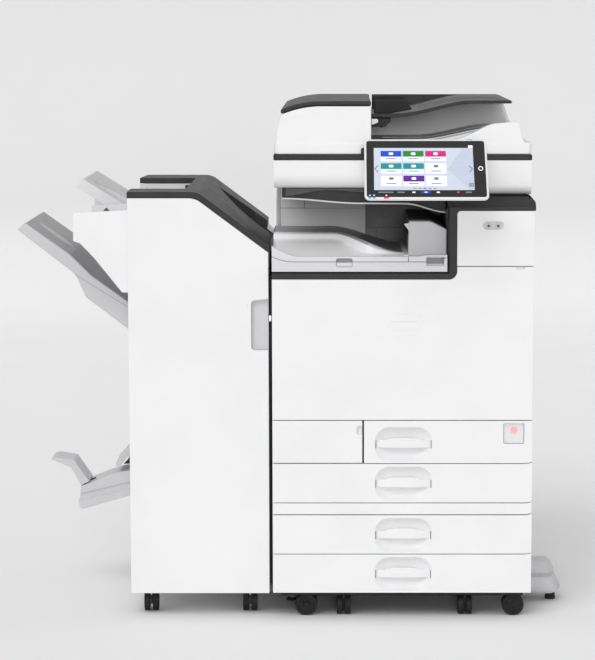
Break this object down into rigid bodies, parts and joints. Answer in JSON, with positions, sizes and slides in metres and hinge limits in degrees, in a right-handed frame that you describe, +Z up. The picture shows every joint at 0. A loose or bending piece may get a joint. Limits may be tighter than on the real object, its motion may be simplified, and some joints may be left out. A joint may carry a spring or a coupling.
{
  "type": "multifunction copier",
  "caption": "Floor-standing colour multifunction copier with a document feeder, tilting touch panel, paper drawers, bridge unit and a booklet finisher at its left, on casters.",
  "frame": {"origin": "on the floor, under the middle of the whole machine's box at rest", "axes": "+X to the machine's right as its user faces it, +Y to its back, +Z up"},
  "size_m": [1.2554, 0.7539, 1.17],
  "materials": {
    "white_plastic": "fine moulded grain, satin",
    "grey_plastic": "fine moulded grain",
    "dark_plastic": "fine moulded grain, satin",
    "inner_grey_plastic": "plain moulded",
    "zinc_steel": "zinc-plated sheet",
    "black_rubber": "matt",
    "platen_glass": "polished",
    "touch_screen": "glossy"
  },
  "bodies": {
    "machine": {"base_plate": "dark_plastic", "inner_frame": "zinc_steel", "casing_shell": "white_plastic", "upper_right_cover": "white_plastic", "dark_trim": "dark_plastic", "cavity_housing": "inner_grey_plastic", "bridge_body": "grey_plastic", "exit_block": "grey_plastic", "scanner_housing": "white_plastic", "platen_glass": "platen_glass", "stabiliser_foot": "grey_plastic", "process_unit": "inner_grey_plastic", "fuser_unit": "inner_grey_plastic", "finisher_casing": "white_plastic", "upper_tray": "grey_plastic", "booklet_tray": "grey_plastic", "stapler_unit": "zinc_steel"},
    "front_door": {"front_door": "white_plastic"},
    "waste_toner_cover": {"waste_toner_cover": "white_plastic"},
    "power_flap": {"power_flap": "grey_plastic"},
    "power_button": {"power_button": "grey_plastic"},
    "duplex_door": {"duplex_door": "white_plastic"},
    "bypass_tray": {"bypass_tray": "white_plastic"},
    "bridge_cover": {"bridge_cover": "grey_plastic"},
    "scan_carriage": {"scan_carriage": "dark_plastic"},
    "document_feeder": {"feeder_base": "white_plastic"},
    "feed_cover": {"feed_cover": "dark_plastic"},
    "original_table": {"original_table": "dark_plastic"},
    "front_guide": {"front_guide": "dark_plastic"},
    "rear_guide": {"rear_guide": "dark_plastic"},
    "operation_panel": {"panel_housing": "white_plastic", "panel_screen": "touch_screen"},
    "finisher_door": {"finisher_door": "white_plastic"},
    "finisher_lid": {"finisher_lid": "dark_plastic"},
    "shift_tray": {"shift_tray": "grey_plastic"},
    "booklet_stopper": {"booklet_stopper": "grey_plastic"},
    "tray_1": {"tray_1_front": "white_plastic", "tray_1_bin": "inner_grey_plastic"},
    "tray_2": {"tray_2_front": "white_plastic", "tray_2_bin": "inner_grey_plastic"},
    "tray_3": {"tray_3_front": "white_plastic", "tray_3_bin": "inner_grey_plastic"},
    "tray_4": {"tray_4_front": "white_plastic", "tray_4_bin": "inner_grey_plastic"},
    "caster_printer_front_left_swivel": {"caster_printer_front_left_fork": "dark_plastic"},
    "caster_printer_front_left_roller": {"caster_printer_front_left_wheels": "black_rubber"},
    "caster_printer_front_right_swivel": {"caster_printer_front_right_fork": "dark_plastic"},
    "caster_printer_front_right_roller": {"caster_printer_front_right_wheels": "black_rubber"},
    "caster_printer_rear_left_swivel": {"caster_printer_rear_left_fork": "dark_plastic"},
    "caster_printer_rear_left_roller": {"caster_printer_rear_left_wheels": "black_rubber"},
    "caster_printer_rear_right_swivel": {"caster_printer_rear_right_fork": "dark_plastic"},
    "caster_printer_rear_right_roller": {"caster_printer_rear_right_wheels": "black_rubber"},
    "caster_finisher_front_left_swivel": {"caster_finisher_front_left_fork": "dark_plastic"},
    "caster_finisher_front_left_roller": {"caster_finisher_front_left_wheels": "black_rubber"},
    "caster_finisher_front_right_swivel": {"caster_finisher_front_right_fork": "dark_plastic"},
    "caster_finisher_front_right_roller": {"caster_finisher_front_right_wheels": "black_rubber"},
    "caster_finisher_rear_left_swivel": {"caster_finisher_rear_left_fork": "dark_plastic"},
    "caster_finisher_rear_left_roller": {"caster_finisher_rear_left_wheels": "black_rubber"},
    "caster_finisher_rear_right_swivel": {"caster_finisher_rear_right_fork": "dark_plastic"},
    "caster_finisher_rear_right_roller": {"caster_finisher_rear_right_wheels": "black_rubber"}
  },
  "joints": [
    {"name": "front_door_hinge", "type": "hinge", "parent": "machine", "child": "front_door", "pos_m": [0.25095, -0.24393, 0.4612], "axis": [1, 0, 0], "range_deg": [0, 88]},
    {"name": "waste_toner_cover_hinge", "type": "hinge", "parent": "machine", "child": "waste_toner_cover", "pos_m": [-0.03795, -0.24393, 0.3588], "axis": [0, 0, -1], "range_deg": [0, 90]},
    {"name": "power_flap_hinge", "type": "hinge", "parent": "machine", "child": "power_flap", "pos_m": [0.48055, -0.24543, 0.4265], "axis": [0, 0, -1], "range_deg": [0, 90]},
    {"name": "power_button_press", "type": "slide", "parent": "machine", "child": "power_button", "axis": [0, 1, 0], "range_m": [0, 0.003], "stiffness_N_per_m": 250, "springref_m": -0.002},
    {"name": "tray_1_slide", "type": "slide", "parent": "machine", "child": "tray_1", "axis": [0, -1, 0], "range_m": [0, 0.4]},
    {"name": "tray_2_slide", "type": "slide", "parent": "machine", "child": "tray_2", "axis": [0, -1, 0], "range_m": [0, 0.4]},
    {"name": "tray_3_slide", "type": "slide", "parent": "machine", "child": "tray_3", "axis": [0, -1, 0], "range_m": [0, 0.4]},
    {"name": "tray_4_slide", "type": "slide", "parent": "machine", "child": "tray_4", "axis": [0, -1, 0], "range_m": [0, 0.4]},
    {"name": "duplex_door_hinge", "type": "hinge", "parent": "machine", "child": "duplex_door", "pos_m": [0.54025, 0.05207, 0.3646], "axis": [0, 1, 0], "range_deg": [0, 45]},
    {"name": "bypass_tray_hinge", "type": "hinge", "parent": "duplex_door", "child": "bypass_tray", "pos_m": [0.54025, 0.05207, 0.4846], "axis": [0, 1, 0], "range_deg": [0, 70]},
    {"name": "bridge_cover_hinge", "type": "hinge", "parent": "machine", "child": "bridge_cover", "pos_m": [0.10745, 0.13607, 0.8158], "axis": [-1, 0, 0], "range_deg": [0, 10]},
    {"name": "scan_carriage_slide", "type": "slide", "parent": "machine", "child": "scan_carriage", "axis": [1, 0, 0], "range_m": [0, 0.39]},
    {"name": "document_feeder_hinge", "type": "hinge", "parent": "machine", "child": "document_feeder", "pos_m": [0.24745, 0.35207, 1.0512], "axis": [-1, 0, 0], "range_deg": [0, 65]},
    {"name": "feed_cover_hinge", "type": "hinge", "parent": "document_feeder", "child": "feed_cover", "pos_m": [-0.02105, 0.07207, 1.145], "axis": [0, -1, 0], "range_deg": [0, 70]},
    {"name": "original_table_hinge", "type": "hinge", "parent": "document_feeder", "child": "original_table", "pos_m": [0.18445, 0.07207, 1.134], "axis": [0, -1, 0], "range_deg": [0, 10]},
    {"name": "front_guide_slide", "type": "slide", "parent": "original_table", "child": "front_guide", "axis": [0, 1, 0], "range_m": [0, 0.09]},
    {"name": "rear_guide_slide", "type": "slide", "parent": "original_table", "child": "rear_guide", "axis": [0, 1, 0], "range_m": [-0.09, 0]},
    {"name": "operation_panel_tilt", "type": "hinge", "parent": "machine", "child": "operation_panel", "pos_m": [0.30095, -0.25193, 1.045], "axis": [-1, 0, 0], "range_deg": [-40, 30]},
    {"name": "finisher_door_hinge", "type": "hinge", "parent": "machine", "child": "finisher_door", "pos_m": [-0.36055, -0.22893, 0.5], "axis": [0, 0, -1], "range_deg": [0, 100]},
    {"name": "finisher_lid_hinge", "type": "hinge", "parent": "machine", "child": "finisher_lid", "pos_m": [-0.20755, 0.37657, 0.9566], "axis": [-1, 0, 0], "range_deg": [0, 45]},
    {"name": "shift_tray_lift", "type": "slide", "parent": "machine", "child": "shift_tray", "axis": [0, 0, -1], "range_m": [0, 0.25]},
    {"name": "booklet_stopper_hinge", "type": "hinge", "parent": "machine", "child": "booklet_stopper", "pos_m": [-0.48605, 0.07207, 0.265], "axis": [0, 1, 0], "range_deg": [0, 60]},
    {"name": "caster_printer_front_left_swivel_turn", "type": "hinge", "parent": "machine", "child": "caster_printer_front_left_swivel", "pos_m": [0.04495, -0.19913, 0.0497], "axis": [0, 0, 1], "continuous": true},
    {"name": "caster_printer_front_left_roll", "type": "hinge", "parent": "caster_printer_front_left_swivel", "child": "caster_printer_front_left_roller", "pos_m": [0.03295, -0.19913, 0.0248], "axis": [0, 1, 0], "continuous": true},
    {"name": "caster_printer_front_right_swivel_turn", "type": "hinge", "parent": "machine", "child": "caster_printer_front_right_swivel", "pos_m": [0.51715, -0.19913, 0.0497], "axis": [0, 0, 1], "continuous": true},
    {"name": "caster_printer_front_right_roll", "type": "hinge", "parent": "caster_printer_front_right_swivel", "child": "caster_printer_front_right_roller", "pos_m": [0.50515, -0.19913, 0.0248], "axis": [0, 1, 0], "continuous": true},
    {"name": "caster_printer_rear_left_swivel_turn", "type": "hinge", "parent": "machine", "child": "caster_printer_rear_left_swivel", "pos_m": [0.04495, 0.29207, 0.0497], "axis": [0, 0, 1], "continuous": true},
    {"name": "caster_printer_rear_left_roll", "type": "hinge", "parent": "caster_printer_rear_left_swivel", "child": "caster_printer_rear_left_roller", "pos_m": [0.03295, 0.29207, 0.0248], "axis": [0, 1, 0], "continuous": true},
    {"name": "caster_printer_rear_right_swivel_turn", "type": "hinge", "parent": "machine", "child": "caster_printer_rear_right_swivel", "pos_m": [0.51715, 0.29207, 0.0497], "axis": [0, 0, 1], "continuous": true},
    {"name": "caster_printer_rear_right_roll", "type": "hinge", "parent": "caster_printer_rear_right_swivel", "child": "caster_printer_rear_right_roller", "pos_m": [0.50515, 0.29207, 0.0248], "axis": [0, 1, 0], "continuous": true},
    {"name": "caster_finisher_front_left_swivel_turn", "type": "hinge", "parent": "machine", "child": "caster_finisher_front_left_swivel", "pos_m": [-0.32355, -0.17433, 0.0552], "axis": [0, 0, 1], "continuous": true},
    {"name": "caster_finisher_front_left_roll", "type": "hinge", "parent": "caster_finisher_front_left_swivel", "child": "caster_finisher_front_left_roller", "pos_m": [-0.32355, -0.16233, 0.0248], "axis": [1, 0, 0], "continuous": true},
    {"name": "caster_finisher_front_right_swivel_turn", "type": "hinge", "parent": "machine", "child": "caster_finisher_front_right_swivel", "pos_m": [-0.09655, -0.17433, 0.0552], "axis": [0, 0, 1], "continuous": true},
    {"name": "caster_finisher_front_right_roll", "type": "hinge", "parent": "caster_finisher_front_right_swivel", "child": "caster_finisher_front_right_roller", "pos_m": [-0.09655, -0.16233, 0.0248], "axis": [1, 0, 0], "continuous": true},
    {"name": "caster_finisher_rear_left_swivel_turn", "type": "hinge", "parent": "machine", "child": "caster_finisher_rear_left_swivel", "pos_m": [-0.32355, 0.30007, 0.0552], "axis": [0, 0, 1], "continuous": true},
    {"name": "caster_finisher_rear_left_roll", "type": "hinge", "parent": "caster_finisher_rear_left_swivel", "child": "caster_finisher_rear_left_roller", "pos_m": [-0.32355, 0.31207, 0.0248], "axis": [1, 0, 0], "continuous": true},
    {"name": "caster_finisher_rear_right_swivel_turn", "type": "hinge", "parent": "machine", "child": "caster_finisher_rear_right_swivel", "pos_m": [-0.09655, 0.30007, 0.0552], "axis": [0, 0, 1], "continuous": true},
    {"name": "caster_finisher_rear_right_roll", "type": "hinge", "parent": "caster_finisher_rear_right_swivel", "child": "caster_finisher_rear_right_roller", "pos_m": [-0.09655, 0.31207, 0.0248], "axis": [1, 0, 0], "continuous": true}
  ],
  "couplings": [
    {"joint": "rear_guide_slide", "follows": "front_guide_slide", "ratio": -1}
  ]
}
